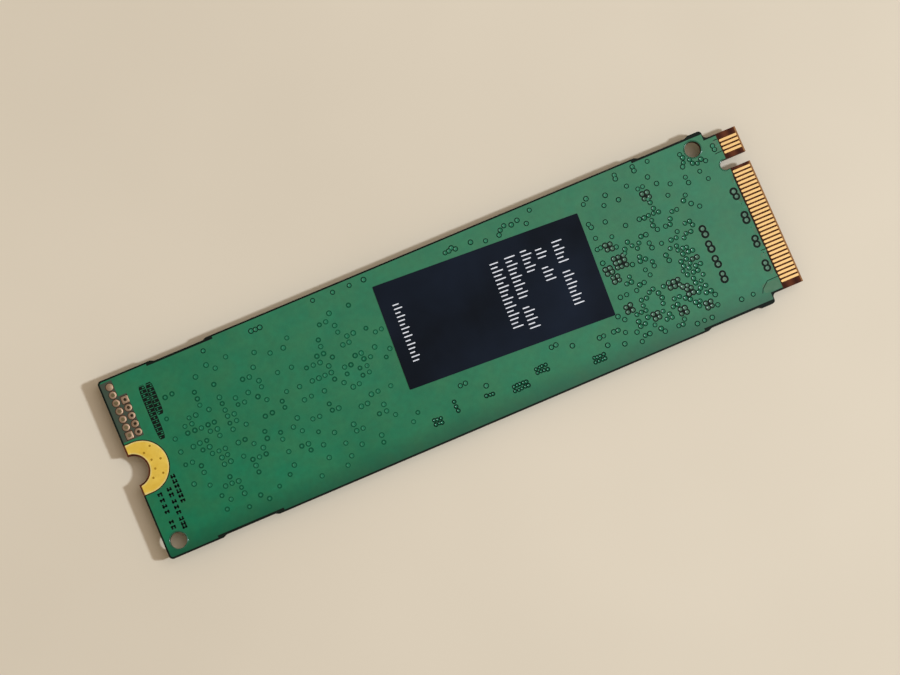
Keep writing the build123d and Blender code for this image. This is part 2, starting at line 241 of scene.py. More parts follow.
# Vias of the plain back. Under the memory packages they keep to a drill grid.
GRID_PITCH = 0.81
GRID_START = (7.4, 2.85)
GRID_ROWS = {
    -1: (4, 7, 15, 19),
    0: (1, 6, 9, 20, 25),
    1: (2, 4, 11, 17, 22, 25, 30),
    2: (1, 4, 12, 20, 31),
    3: (2, 3, 4, 7, 15, 17, 22, 23, 28),
    4: (0, 3, 7, 12, 14, 15, 19, 22, 26, 27),
    5: (-2, 7, 8, 9, 17, 27),
    6: (0, 3, 4, 6, 9, 12, 15, 24, 25),
    7: (0, 3, 4, 8, 10, 12, 14, 17, 18, 20, 21, 26, 27, 29),
    8: (-2, -1, 2, 3, 4, 6, 7, 10, 15, 20),
    9: (1, 2, 24, 25),
    10: (-2, 0, 1, 2, 4, 6, 8, 11, 12, 14, 17, 18, 20, 23, 26, 27),
    11: (3, 4, 6, 7, 14, 22, 24, 26, 27, 30),
    12: (-2, 0, 1, 2, 3, 4, 6, 7, 12, 15, 17, 19, 20, 21, 22, 24, 25, 27, 28, 31),
    13: (0, 1, 6, 8, 9, 11, 22, 26, 27, 29),
    14: (1, 2, 4, 6, 8, 10, 12, 19, 20, 21, 23),
    15: (-2, 3, 6, 12, 15, 17, 21, 22, 25, 26, 30, 31),
    16: (3, 10, 11, 22, 26, 27, 29),
    17: (3, 6, 12, 22, 25),
    18: (-1, 0, 15, 17, 25),
    19: (4, 7, 13, 18, 23, 24),
    20: (6, 9, 25, 28),
}
# Elsewhere they stand where the tracks need them: y, then every x in that row.
VIA_ROWS = (
    (21.1, (26.4, 28.9, 31.0, 32.8, 53.7, 64.6, 66.9, 68.8)),
    (20.6, (12.6, 18.5, 19.1, 19.6, 43.6, 50.3, 51.9, 64.5, 66.9)),
    (20.3, (42.7, 43.2, 44.0, 45.9, 49.7, 51.1, 72.6)),
    (19.8, (47.6, 49.3, 52.8, 60.4, 72.8, 76.6)),
    (19.3, (59.8, 62.6, 65.4, 68.1, 72.6, 73.4, 76.7)),
    (18.8, (72.4, 73.6, 74.7)),
    (18.5, (66.5, 67.1, 74.1, 75.1)),
    (18.2, (62.0, 63.9, 68.7)),
    (17.6, (70.2, 72.2, 74.0)),
    (16.9, (59.4, 67.1, 72.3)),
    (16.4, (59.6, 61.4, 67.1, 69.4, 74.6)),
    (15.7, (67.2, 71.3)),
    (15.1, (59.6, 63.4, 65.2, 65.8, 66.4, 67.0, 67.6, 70.8)),
    (14.5, (61.4, 66.5, 69.1, 69.7, 71.5)),
    (13.8, (59.2, 59.7, 66.4, 68.5, 72.3)),
    (13.2, (61.4, 62.8, 64.5, 65.2, 66.7, 67.7, 68.3)),
    (12.6, (62.2, 63.2, 64.0, 69.9, 70.5)),
    (12.1, (59.2, 62.0, 63.6, 65.1, 68.7, 70.7)),
    (11.5, (65.2, 66.4, 67.6, 68.3, 69.6, 70.2)),
    (11.1, (63.4, 69.1)),
    (10.6, (62.3, 63.3, 64.0, 67.1, 67.9)),
    (10.0, (64.6, 66.4, 67.9, 68.5, 69.0)),
    (9.4, (61.4, 63.4, 64.6, 66.5, 68.2, 68.9, 69.5)),
    (8.7, (60.8, 61.4, 63.7, 67.7, 68.4)),
    (8.1, (62.1, 62.7, 67.8, 68.6)),
    (7.6, (59.5, 60.3, 61.5, 67.5, 68.2, 69.1, 69.7)),
    (7.0, (63.4, 65.3, 67.8, 68.5, 69.1)),
    (6.8, (62.8, 64.6)),
    (6.3, (61.6, 62.2, 63.8, 68.2, 69.5)),
    (5.7, (58.3, 61.5, 63.9, 68.3, 68.9)),
    (5.4, (38.3, 38.9, 49.7, 50.3)),
    (5.0, (58.9, 60.4, 61.0, 61.6, 63.8, 65.2, 65.9, 68.5, 69.2)),
    (4.6, (52.1, 66.4, 68.1)),
    (4.2, (41.0, 55.3, 55.9, 57.1, 57.7, 60.3, 61.5, 63.4, 64.7, 65.3, 66.9, 68.9, 69.5)),
    (3.6, (58.4, 60.3, 60.9, 64.0, 67.3, 67.9, 69.8)),
    (3.1, (55.9, 59.6, 61.9, 63.5, 64.1, 67.6)),
    (2.4, (57.8, 60.3, 60.9, 62.4, 65.3, 69.6)),
    (1.9, (59.7, 62.7, 64.4, 64.9, 72.4, 73.9)),
    (1.3, (66.5, 67.4, 68.4)),
)
# A via: radius of its ring and its button, how far it strays from its row, and how its copies swell
VIA_MOAT = 0.32
VIA_PAD = 0.22
VIA_DRIFT = 0.05
VIA_SWELL = (0.9, 1.08)
# Profiles of a via's button, from its edge inward: share of its radius, rise over that share
FLAT_BUTTON = ((0.08, 0.03), (0.40, 0.0), (0.42, -0.03))
SUNKEN_BUTTON = ((0.2, 0.04), (0.6, -0.04))
# Loose vias with so many neighbours so close stand in a crowd.
CROWD_NEIGHBOURS = 2
CROWD_REACH = 0.95
# Some vias of the drill grid have a wider ring.
FIRM_SHARE = 0.3
FIRM_PAD = 0.16
# Knots of vias so close that the gaps round them run together: x, y, columns, rows.
KNOT_PITCH = 0.58
KNOT_MOAT = 0.36
KNOT_CORE = 0.23
KNOTS = (
    (67.0, 17.45, 2, 2), (60.55, 13.55, 2, 2), (61.1, 11.45, 3, 3), (59.45, 10.95, 2, 2), (59.9, 9.75, 2, 2),
    (59.9, 6.0, 2, 2), (62.5, 4.0, 2, 2), (65.6, 3.3, 2, 2), (65.85, 6.6, 3, 2), (66.95, 5.9, 2, 1),
    (67.25, 5.15, 2, 2), (68.7, 2.8, 2, 2), (69.35, 8.45, 2, 1),
)
# Stitching vias that overlap in rows: x, y, columns, rows.
STITCH_PITCH = (0.40, 0.52)
STITCH_MOAT = 0.27
STITCH_PAD = 0.14
STITCHES = ((34.3, 2.6, 3, 2), (36.9, 3.4, 1, 3), (41.0, 3.1, 3, 1), (44.7, 2.6, 5, 2), (47.7, 3.5, 4, 2),
            (54.4, 2.0, 4, 2))
# Paired vias of the data lanes, each pair in one dark outline: x of a column and every y in it.
PAIR_SPACING = 0.68
PAIR_MOAT = 0.48
PAIR_PAD = 0.25
PAIR_COLUMNS = ((76.75, (13.5, 10.5, 7.45, 4.4)), (71.55, (10.85, 9.0, 7.1, 5.2)))

# Component side
FRONT_VIA_COUNT = 150
FRONT_VIA_SPAN = (5.5, 76.5)
FRONT_VIA_MARGIN = 1.2  # from the long edges
TAB_MARGIN = 1.4  # and beside the break-off tabs
VIA_ROOM = 0.5
VIA_SPACING = 2.2 * VIA_MOAT
MOUNT_SLACK = 0.02  # what reaches no further than this above the front mask's face is mounted on it
BALL_BULGE = 1.2
# Solder fillets: the shape of a wedge of unit size, then its size on a cap
FILLET_TAPER = 0.85
FILLET_HOLLOW = (-0.16, 0, 0.06)
FILLET_REACH = 0.14
FILLET_SPAN = 0.98  # of the cap's width
FILLET_CLIMB = 0.6  # of its height
FILLET_LAP = 0.01
PACKAGES = ("controller", "dram", "flash_1", "flash_2")
# Widths of broken edges
MOULD_EASE = 0.06
SUBSTRATE_EASE = 0.02
PART_EASES = {
    "power_manager_body": 0.04, "power_manager_leads": 0.02,
    "load_switch_body": 0.04, "load_switch_leads": 0.02,
    "inductor_bodies": 0.12, "inductor_feet": 0.03, "crystal_base": 0.05, "crystal_lid": 0.03,
}
# And of chip parts: on their bodies and on their end caps
CHIP_EASES = {
    "coupling_capacitor": (0.03, 0.04), "decoupling_capacitor": (0.03, 0.04), "bulk_capacitor": (0.05, 0.06),
    "resistor": (0.03, 0.03), "input_fuse": (0.05, 0.05),
}

# Stage. The camera's place is counted from the middle of the board's back, and its turn about X, Y and Z is
# in degrees.
SENSOR = 36.0
LENS = 96.0
CAMERA_PLACE = Vector((-24.1, -21.84, 275.4))
CAMERA_TURN = (6.072, -2.694, -23.212)
TABLE_SIZE = 4000.0
TABLE_DROP = 0.01  # keeps the table's face clear of the drive's lowest faces


# Modelling steps


def fresh():
    """Object mode with nothing selected, so that the next step takes only what it adds."""
    if bpy.context.object and bpy.context.object.mode != "OBJECT":
        bpy.ops.object.mode_set(mode="OBJECT")
    bpy.ops.object.select_all(action="DESELECT")


def hold(piece):
    """Object mode with only this piece selected and active."""
    fresh()
    piece.select_set(True)
    bpy.context.view_layer.objects.active = piece


def spot(x, y, z=0.0):
    """A drawing place as a point of the model, in millimetres."""
    return Vector((BOARD_LOW.x + x, BOARD_LOW.y + y, z))


def block(low, high):
    """A box between two corners."""
    fresh()
    bpy.ops.mesh.primitive_cube_add(size=1, location=(low + high) / 2)
    bpy.context.object.scale = high - low
    bpy.ops.object.transform_apply(location=True, rotation=False, scale=True)
    return bpy.context.object


def rod(centre, radius, height, sides):
    """An upright cylinder on its middle point."""
    fresh()
    bpy.ops.mesh.primitive_cylinder_add(vertices=sides, radius=radius, depth=height, location=centre)
    bpy.ops.object.transform_apply(location=True, rotation=False, scale=False)
    return bpy.context.object


def pick(piece, kind, test):
    """Edit mode on a piece with only the faces, edges or verts selected that pass a test."""
    hold(piece)
    bpy.ops.object.mode_set(mode="EDIT")
    bpy.ops.mesh.select_mode(type={"faces": "FACE", "edges": "EDGE", "verts": "VERT"}[kind])
    bpy.ops.mesh.select_all(action="DESELECT")
    mesh = bmesh.from_edit_mesh(piece.data)
    for part in getattr(mesh, kind):
        part.select_set(test(part))
    mesh.select_flush_mode()
    bmesh.update_edit_mesh(piece.data)


def everywhere(face):
    """A test that each face passes."""
    return True


def facing(outward):
    """A test for faces that look up, or down where outward is -1."""
    return lambda face: face.normal.z * outward > FACING


def upright(edge):
    """Whether an edge stands along Z."""
    one, other = (vert.co for vert in edge.verts)
    return abs((one - other).normalized().z) > FACING


def plate(centre, length, width, height, corner, segments=3):
    """A thin plate with round corners on its middle point, long in X."""
    half = Vector((length, width, height)) / 2
    piece = block(centre - half, centre + half)
    pick(piece, "edges", upright)
    bpy.ops.mesh.bevel(offset=corner, segments=segments, affect="EDGES")
    fresh()
    return piece


def slope_rim(piece, outward, width, drop):
    """Slopes the rim of a piece's outer face: its edge sinks, the rest of the face stays."""
    pick(piece, "faces", facing(outward))
    bpy.ops.mesh.inset(thickness=width)

    def on_edge(vert):
        tilts = [face.normal.z * outward for face in vert.link_faces]
        return max(tilts) > FACING and min(abs(tilt) for tilt in tilts) < 1 - FACING

    pick(piece, "verts", on_edge)
    bpy.ops.transform.translate(value=(0, 0, -drop * outward))
    fresh()


def bars(rows, low, high):
    """Thin bars between two levels. Each row: x, y, length, width and turn on the drawing."""
    model = plate(Vector(), 1, 1, 1, BAR_CORNER, 2)
    places = []
    for x, y, length, width, turn in rows:
        size = Matrix.Diagonal((length, width, high - low, 1))
        middle = Matrix.Translation(spot(x, y, (low + high) / 2))
        places.append(middle @ Matrix.Rotation(turn, 4, "Z") @ size)
    return copies(model, places)


def settle(piece, step):
    """Applies a modifier to its piece."""
    hold(piece)
    bpy.ops.object.modifier_apply(modifier=step.name)


def combine(piece, other, operation):
    """Makes one closed piece of two by a boolean operation."""
    fresh()
    step = piece.modifiers.new("combine", "BOOLEAN")
    step.operation = operation
    step.solver = "EXACT"
    step.object = other
    settle(piece, step)
    bpy.data.objects.remove(other)


def fuse(piece, other):
    """Adds one closed piece to another."""
    combine(piece, other, "UNION")


def cut(piece, cutter):
    """Takes a cutter out of a piece."""
    combine(piece, cutter, "DIFFERENCE")


def joined(pieces):
    """Several pieces as one object."""
    fresh()
    for piece in pieces:
        piece.select_set(True)
    bpy.context.view_layer.objects.active = pieces[0]
    bpy.ops.object.join()
    return bpy.context.object


def copies(model, places):
    """One object of a model's copies, each moved, turned and sized by a matrix. The model itself goes."""
    made = []
    for place in places:
        copy = model.copy()
        copy.data = model.data.copy()
        copy.matrix_world = place
        bpy.context.collection.objects.link(copy)
        made.append(copy)
    bpy.data.objects.remove(model)
    whole = joined(made)
    bpy.ops.object.transform_apply(location=True, rotation=True, scale=True)
    return whole


def done(piece, name, slot, *materials, replaces=()):
    """Brings a piece to metres, names and paints it, and lets it ride on the drive."""
    hold(piece)
    piece.scale = (MM, MM, MM)
    bpy.ops.object.transform_apply(location=True, rotation=True, scale=True)
    bpy.ops.object.shade_smooth_by_angle(angle=SMOOTH_ANGLE)
    piece.name = name
    piece.data.name = name
    for place, material in enumerate(materials):
        if place < len(piece.data.materials):
            piece.data.materials[place] = material
        else:
            piece.data.materials.append(material)
    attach(piece, ROOT)
    if replaces:
        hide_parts(*replaces)


def crisp(piece):
    """Shades broad faces flat and leaves the roundness to the narrow faces between them."""
    fresh()
    step = piece.modifiers.new("crisp", "WEIGHTED_NORMAL")
    step.keep_sharp = True
    settle(piece, step)


def eased(node, width, segments):
    """A CAD node's solids with their edges broken, in place of the node."""
    fresh()
    piece = bpy.data.objects.new(node + "_eased", frame["nodes"][node].data.copy())
    bpy.context.collection.objects.link(piece)
    piece.data.materials.clear()
    piece.data.transform(Matrix.Scale(1 / MM, 4))
    pick(piece, "faces", everywhere)
    bpy.ops.mesh.remove_doubles(threshold=MERGE)
    bpy.ops.mesh.dissolve_limited(angle_limit=FLAT_ANGLE)
    fresh()
    step = piece.modifiers.new("ease", "BEVEL")
    step.width = width
    step.segments = segments
    step.limit_method = "ANGLE"
    step.angle_limit = EASE_ANGLE
    settle(piece, step)
    done(piece, node + "_eased", slots[node], finishes[slots[node]], replaces=(node,))
    crisp(piece)


def solids(node):
    """Corner boxes, in millimetres, of a CAD node's separate solids."""
    mesh = bmesh.new()
    mesh.from_mesh(frame["nodes"][node].data)
    bmesh.ops.remove_doubles(mesh, verts=mesh.verts, dist=MERGE * MM)
    seen = set()
    boxes = []
    for vert in mesh.verts:
        if vert in seen:
            continue
        seen.add(vert)
        island = [vert]
        for known in island:
            linked = [edge.other_vert(known) for edge in known.link_edges]
            new = [other for other in linked if other not in seen]
            seen.update(new)
            island += new
        corners = [v.co / MM for v in island]
        low = Vector([min(c[axis] for c in corners) for axis in range(3)])
        high = Vector([max(c[axis] for c in corners) for axis in range(3)])
        boxes.append((low, high))
    mesh.free()
    return boxes


# Finishes


def linear(colour):
    """An sRGB hex colour as linear red, green, blue and alpha."""
    channels = [int(colour[i:i + 2], 16) / 255 for i in (1, 3, 5)]
    return [c / 12.92 if c <= 0.04045 else ((c + 0.055) / 1.055) ** 2.4 for c in channels] + [1.0]


def per(size):
    """Pattern scale for a feature of that size in millimetres."""
    return 1 / (size * MM)


def add(tree, kind, inputs=None, **settings):
    """Adds a node with its settings. An input is a value, or another node's output to link."""
    made = tree.nodes.new(kind)
    for name, value in settings.items():
        setattr(made, name, value)
    for socket, value in (inputs or {}).items():
        if isinstance(value, bpy.types.NodeSocket):
            tree.links.new(value, made.inputs[socket])
        else:
            made.inputs[socket].default_value = value
    return made


MIX_FACTOR, MIX_A, MIX_B, MIX_RESULT = 0, 6, 7, 2  # sockets of a colour mix


def finish(name, roughness, metallic=0.0, gloss=0.5):
    """A new material with its shader and its place on the surface. Gloss is its mirror layer's strength."""
    material = bpy.data.materials.new(name)
    material.use_nodes = True
    tree = material.node_tree
    shader = tree.nodes["Principled BSDF"]
    shader.inputs["Roughness"].default_value = roughness
    shader.inputs["Metallic"].default_value = metallic
    shader.inputs["Specular IOR Level"].default_value = gloss
    return material, tree, shader, add(tree, "ShaderNodeTexCoord").outputs["Object"]


def clouds(tree, spots, size, sharp, most=1.0):
    """Soft patches of that size, from 0 to most. Sharp is how fast one turns into the next."""
    noise = add(tree, "ShaderNodeTexNoise", {"Vector": spots, "Scale": per(size), "Detail": 3.0})
    half = 0.5 / sharp
    limits = {"Value": noise.outputs["Fac"], "From Min": 0.5 - half, "From Max": 0.5 + half, "To Max": most}
    return add(tree, "ShaderNodeMapRange", limits).outputs["Result"]


def tones(tree, shader, share, first, second):
    """Colours the surface between two tones. The first may be what tones has made before."""
    under = first if isinstance(first, bpy.types.NodeSocket) else linear(first)
    mix = {MIX_FACTOR: share, MIX_A: under, MIX_B: linear(second)}
    made = add(tree, "ShaderNodeMix", mix, data_type="RGBA").outputs[MIX_RESULT]
    tree.links.new(made, shader.inputs["Base Color"])
    return made


def relief(tree, shader, height, depth):
    """Raises the surface by a pattern, depth millimetres from 0 to 1."""
    bump = add(tree, "ShaderNodeBump", {"Height": height, "Distance": depth * MM, "Strength": 1.0})
    tree.links.new(bump.outputs["Normal"], shader.inputs["Normal"])


def rough_between(tree, shader, share, low, high):
    """Lets the gloss wander between two roughnesses."""
    span = add(tree, "ShaderNodeMapRange", {"Value": share, "To Min": low, "To Max": high})
    tree.links.new(span.outputs["Result"], shader.inputs["Roughness"])


def mask_on_copper():
    """Liquid solder mask cured over copper: fresh green lit by the metal under it, olive where it is thin.

    It is duller towards the screw end, and deepens along the lower edge.
    """
    material, tree, shader, spots = finish("solder_mask_cured_on_copper", roughness=0.40)
    green = tones(tree, shader, clouds(tree, spots, size=5.0, sharp=2.2), "#026946", "#0b7651")
    mixed = tones(tree, shader, clouds(tree, spots, size=2.6, sharp=3.0, most=0.48), green, "#2c6d43")
    mixed = tones(tree, shader, clouds(tree, spots, size=0.7, sharp=1.6, most=0.36), mixed, "#064c32")
    across = add(tree, "ShaderNodeSeparateXYZ", {"Vector": spots}).outputs["Y"]
    start, end = (BOARD_LOW.y + EDGE_FADE) * MM, BOARD_LOW.y * MM
    edge = {"Value": across, "From Min": start, "From Max": end, "To Max": EDGE_DEPTH}
    tones(tree, shader, add(tree, "ShaderNodeMapRange", edge).outputs["Result"], mixed, "#02301f")
    both = {0: spots, 1: GLOSS_WAY}
    way = add(tree, "ShaderNodeVectorMath", both, operation="DOT_PRODUCT").outputs["Value"]
    start, end = (reach * MM for reach in GLOSS_REACH)
    sheen = {"Value": way, "From Min": start, "From Max": end, "To Min": DULL_GLOSS, "To Max": FULL_GLOSS}
    sheen = add(tree, "ShaderNodeMapRange", sheen).outputs["Result"]
    tree.links.new(sheen, shader.inputs["Specular IOR Level"])
    rough_between(tree, shader, clouds(tree, spots, size=2.0, sharp=2.0), low=0.34, high=0.46)
    relief(tree, shader, clouds(tree, spots, size=0.45, sharp=1.0), depth=0.002)
    return material


def mask_on_laminate():
    """The same mask on bare laminate: no metal lights it, so it sinks to a nearly black bottle green."""
    material, tree, shader, spots = finish("solder_mask_cured_on_laminate", roughness=0.42, gloss=0.10)
    tones(tree, shader, clouds(tree, spots, size=1.6, sharp=2.0), "#040b07", "#0a170e")
    relief(tree, shader, clouds(tree, spots, size=0.4, sharp=1.0), depth=0.002)
    return material


def mask_in_moat(name, dark, light):
    """Mask in the narrow gap round a via: thin, so the dark laminate shows through it."""
    material, tree, shader, spots = finish(name, roughness=0.45, gloss=0.06)
    tones(tree, shader, clouds(tree, spots, size=1.2, sharp=2.0), dark, light)
    return material


def mask_on_via(name, dark, light, roughness, gloss):
    """Mask tented over a plated via: a low button that catches the light on one side."""
    material, tree, shader, spots = finish(name, roughness, gloss=gloss)
    tones(tree, shader, clouds(tree, spots, size=0.7, sharp=2.0), dark, light)
    return material


def mask_on_tracks(name, dark, light):
    """Mask where little copper backs it: the laminate's brown comes through and dulls the green."""
    material, tree, shader, spots = finish(name, roughness=0.45, gloss=0.25)
    tones(tree, shader, clouds(tree, spots, size=0.9, sharp=2.0), dark, light)
    relief(tree, shader, clouds(tree, spots, size=0.5, sharp=1.0), depth=0.003)
    return material


def hole_plug():
    """Resin that fills a plated hole: olive tan, a little sunken."""
    material, tree, shader, spots = finish("resin_hole_plug", roughness=0.5, gloss=0.3)
    tones(tree, shader, clouds(tree, spots, size=0.3, sharp=2.0), "#564830", "#70613f")
    return material


def sanded_bevel():
    """Sanded bevel of the tongue: raw glass and resin, paler and more orange than the routed sides."""
    material, tree, shader, spots = finish("glass_epoxy_laminate_sanded", roughness=0.6, gloss=0.3)
    along = add(tree, "ShaderNodeMapping", {"Vector": spots, "Scale": (1.0, 0.2, 1.0)}).outputs["Vector"]
    tones(tree, shader, clouds(tree, along, size=0.1, sharp=1.6), "#70481f", "#98693a")
    return material


def copper_flank():
    """Etched side of a contact: copper under thinning gold, darker than the face."""
    material, tree, shader, spots = finish("copper_etched_flank", roughness=0.45, metallic=1.0)
    tones(tree, shader, clouds(tree, spots, size=0.3, sharp=1.8), "#8a5e12", "#a87820")
    return material


def glass_laminate():
    """Routed glass-epoxy board: red-brown resin with the cloth's weave, and pale plies on a cut edge.

    A wave texture has 3.2 bands in the length of its scale. With WAVE_PITCHES to that length the cloth and
    the plies are drawn about three times as coarse as they are, so that they show.
    """
    material, tree, shader, spots = finish("glass_epoxy_laminate_routed", roughness=0.55, gloss=0.06)
    weave = {"Vector": spots, "Scale": per(CLOTH_PITCH * WAVE_PITCHES), "Distortion": 0.4}
    warp = add(tree, "ShaderNodeTexWave", weave, bands_direction="X").outputs["Fac"]
    plies = {"Vector": spots, "Scale": per(PLY_PITCH * WAVE_PITCHES), "Distortion": 0.6}
    ply = add(tree, "ShaderNodeTexWave", plies, bands_direction="Z").outputs["Fac"]
    share = add(tree, "ShaderNodeMath", {0: warp, 1: ply}, operation="MULTIPLY").outputs["Value"]
    tones(tree, shader, share, "#38180e", "#60321e")
    return material


def immersion_gold():
    """Immersion gold on a soft copper pad: deep warm yellow, satin grain, and a painted highlight as a pale
    line along its rims.
    """
    material, tree, shader, spots = finish("gold_immersion_plated_pad", roughness=0.38, metallic=1.0)
    yellow = tones(tree, shader, clouds(tree, spots, size=1.5, sharp=1.8), "#e7bd46", "#f3d264")
    flat = add(tree, "ShaderNodeMapping", {"Vector": spots, "Scale": (1.0, 1.0, 0.0)}).outputs["Vector"]
    # Painted highlight: a pale band along the pad's outer rim and round its notch
    for x, start, end in PAD_RIM_HIGHLIGHTS:
        ends = {0: flat, 1: spot(x, BOARD_WIDTH / 2) * MM}
        reach = add(tree, "ShaderNodeVectorMath", ends, operation="DISTANCE").outputs["Value"]
        limits = {"From Min": start * MM, "From Max": end * MM, "To Max": HIGHLIGHT_SHARE}
        rim = add(tree, "ShaderNodeMapRange", {"Value": reach, **limits}).outputs["Result"]
        yellow = tones(tree, shader, rim, yellow, "#f1e3a4")
    rough_between(tree, shader, clouds(tree, spots, size=0.5, sharp=1.5), low=0.32, high=0.46)
    relief(tree, shader, clouds(tree, spots, size=0.15, sharp=1.0), depth=0.001)
    return material


def probe_dent_gold_painted_shade():
    """Gold pressed in by a test probe: the pad's own yellow, darkened as painted shade in the dent, and
    rough.
    """
    material, tree, shader, spots = finish("gold_in_probe_dent_painted_shade", roughness=0.55, metallic=1.0)
    # Painted shade: a darker gold than the pad's, standing for the shade in each dent
    tones(tree, shader, clouds(tree, spots, size=0.2, sharp=1.8), "#9c751d", "#b48c2f")
    return material


def hard_gold():
    """Hard gold on the contacts: paler and brighter, with fine wipe marks along each contact."""
    material, tree, shader, spots = finish("gold_hard_plated_contact", roughness=0.40, metallic=1.0)
    along = add(tree, "ShaderNodeMapping", {"Vector": spots, "Scale": (0.08, 1.0, 1.0)}).outputs["Vector"]
    marks = clouds(tree, along, size=0.12, sharp=1.6)
    tones(tree, shader, marks, "#c19c63", "#cfa873")
    rough_between(tree, shader, marks, low=0.38, high=0.44)
    return material


def header_tin():
    """Copper pads with a thin immersion-tin coat: pale, faintly tan, satin."""
    material, tree, shader, spots = finish("tin_immersion_on_copper", roughness=0.36, metallic=1.0)
    tones(tree, shader, clouds(tree, spots, size=0.8, sharp=1.8), "#90785f", "#b99d86")
    relief(tree, shader, clouds(tree, spots, size=0.2, sharp=1.0), depth=0.002)
    return material


def bright_tin():
    """Plated tin on leads and end caps: cool grey metal, slightly cloudy."""
    material, tree, shader, spots = finish("tin_matte_plated", roughness=0.38, metallic=1.0)
    tones(tree, shader, clouds(tree, spots, size=0.3, sharp=1.8), "#a9a8a6", "#d2d0cc")
    rough_between(tree, shader, clouds(tree, spots, size=0.15, sharp=1.5), low=0.30, high=0.48)
    return material


def solder():
    """Reflowed solder: bright grey metal that froze with a faint orange peel."""
    material, tree, shader, spots = finish("solder_reflowed", roughness=0.26, metallic=1.0)
    tones(tree, shader, clouds(tree, spots, size=0.25, sharp=1.5), "#b4b5b6", "#d9d9d8")
    relief(tree, shader, clouds(tree, spots, size=0.12, sharp=1.0), depth=0.002)
    return material


def label_film():
    """Printed polyester label: blue-black ink under a satin film that isn't quite flat, with a painted sheen
    in its broad lighter, bluer patches.
    """
    material, tree, shader, spots = finish("polyester_label_printed_black", roughness=0.42, gloss=0.06)
    # Partly painted sheen: the lighter, bluer tone stands for the film's reflection over the black ink
    tones(tree, shader, clouds(tree, spots, size=9.0, sharp=1.8), "#05080e", "#141c2a")
    rough_between(tree, shader, clouds(tree, spots, size=3.0, sharp=1.8), low=0.36, high=0.52)
    relief(tree, shader, clouds(tree, spots, size=2.5, sharp=1.0), depth=0.006)
    return material


def label_ink():
    """White print on the label: matt, a little thin in places."""
    material, tree, shader, spots = finish("label_print_white", roughness=0.6)
    tones(tree, shader, clouds(tree, spots, size=0.25, sharp=2.0), "#c4c7d4", "#eff1f8")
    return material


def moulding_compound():
    """Epoxy moulding compound: charcoal black with a fine spark-eroded grain from the mould."""
    material, tree, shader, spots = finish("epoxy_moulding_compound", roughness=0.62)
    tones(tree, shader, clouds(tree, spots, size=0.35, sharp=1.6), "#17171a", "#232326")
    relief(tree, shader, clouds(tree, spots, size=0.12, sharp=1.0), depth=0.004)
    return material


def package_laminate():
    """Sawn package substrate: thin green laminate with paler glass ends in its cut sides."""
    material, tree, shader, spots = finish("package_substrate_sawn", roughness=0.5)
    tones(tree, shader, clouds(tree, spots, size=0.4, sharp=1.8), "#1d3a28", "#3a5238")
    return material


def ferrite():
    """Pressed metal-powder core: dark grey, matt, with visible grains."""
    material, tree, shader, spots = finish("ferrite_pressed_powder", roughness=0.7)
    grains = add(tree, "ShaderNodeTexVoronoi", {"Vector": spots, "Scale": per(0.09)}).outputs["Distance"]
    tones(tree, shader, grains, "#3b3b3d", "#5a5957")
    relief(tree, shader, grains, depth=0.006)
    return material


def fired_ceramic(name, dark, light, roughness):
    """Fired ceramic body: fine even grain in one earth tone."""
    material, tree, shader, spots = finish(name, roughness)
    tones(tree, shader, clouds(tree, spots, size=0.2, sharp=1.8), dark, light)
    relief(tree, shader, clouds(tree, spots, size=0.08, sharp=1.0), depth=0.002)
    return material


def crystal_lid():
    """Seam-welded lid: rolled nickel alloy with faint roll lines."""
    material, tree, shader, spots = finish("nickel_lid_rolled", roughness=0.32, metallic=1.0)
    along = add(tree, "ShaderNodeMapping", {"Vector": spots, "Scale": (0.05, 1.0, 1.0)}).outputs["Vector"]
    tones(tree, shader, clouds(tree, along, size=0.06, sharp=1.5), "#b3aa9b", "#d6cfc2")
    return material


def table_top():
    """Painted table top: warm pale beige with faint broad clouds."""
    material, tree, shader, spots = finish("table_top_painted", roughness=0.7, gloss=0.2)
    tones(tree, shader, clouds(tree, spots, size=60.0, sharp=1.6), "#d1c5b3", "#dcd0be")
    return material


# Copper under the mask


def copper_pour(name, face, outward, material):
    """The mask over a face's copper layer, a hair above the mask over bare laminate."""
    low, high = sorted((face, face + outward * POUR_RISE))
    skin = block(spot(EDGE_GAP, EDGE_GAP, low), spot(MASK_END, BOARD_WIDTH - EDGE_GAP, high))
    pick(skin, "edges", upright)
    bpy.ops.mesh.bevel(offset=POUR_CORNER, segments=4, affect="EDGES")

    def clear(x0, x1, y0, y1):
        cut(skin, block(spot(x0, y0, low - OVERRUN), spot(x1, y1, high + OVERRUN)))

    def drill(x, y, radius, sides):
        cut(skin, rod(spot(x, y, (low + high) / 2), radius, high - low + 2 * OVERRUN, sides))

    upper = BOARD_WIDTH + OVERRUN
    for x0, x1 in TAB_SPANS:
        clear(x0, x1, -OVERRUN, TAB_SETBACK)
        clear(x0, x1, BOARD_WIDTH - TAB_SETBACK, upper)
    for x, y in TOOLING_HOLES:
        drill(x, y, TOOLING_RADIUS + HOLE_GAP, sides=32)
    middle = BOARD_WIDTH / 2
    pad = PAD_RADIUS + PAD_GAP
    drill(PAD_REACH - PAD_RADIUS, middle, pad, sides=48)
    clear(-OVERRUN, PAD_REACH - PAD_RADIUS, middle - pad, middle + pad)
    for field in HEADER_FIELDS:
        clear(*field)
    step = SHOULDER_STEP + EDGE_GAP
    for y0, y1 in ((-OVERRUN, step), (BOARD_WIDTH - step, upper)):
        clear(SHOULDER - SHOULDER_GAP, MASK_END + OVERRUN, y0, y1)
    key = KEY_RADIUS + HOLE_GAP
    drill(KEY_END + KEY_RADIUS, KEY_Y, key, sides=32)
    clear(KEY_END + KEY_RADIUS, MASK_END + OVERRUN, KEY_Y - key, KEY_Y + key)
    done(skin, name, "solder_mask", material)


def runs(lines, width):
    """Bars along runs of points."""
    rows = []
    for line in lines:
        for (x0, y0), (x1, y1) in zip(line, line[1:]):
            length = math.hypot(x1 - x0, y1 - y0) + width * RUN_OVERLAP
            rows.append(((x0 + x1) / 2, (y0 + y1) / 2, length, width, math.atan2(y1 - y0, x1 - x0)))
    return rows


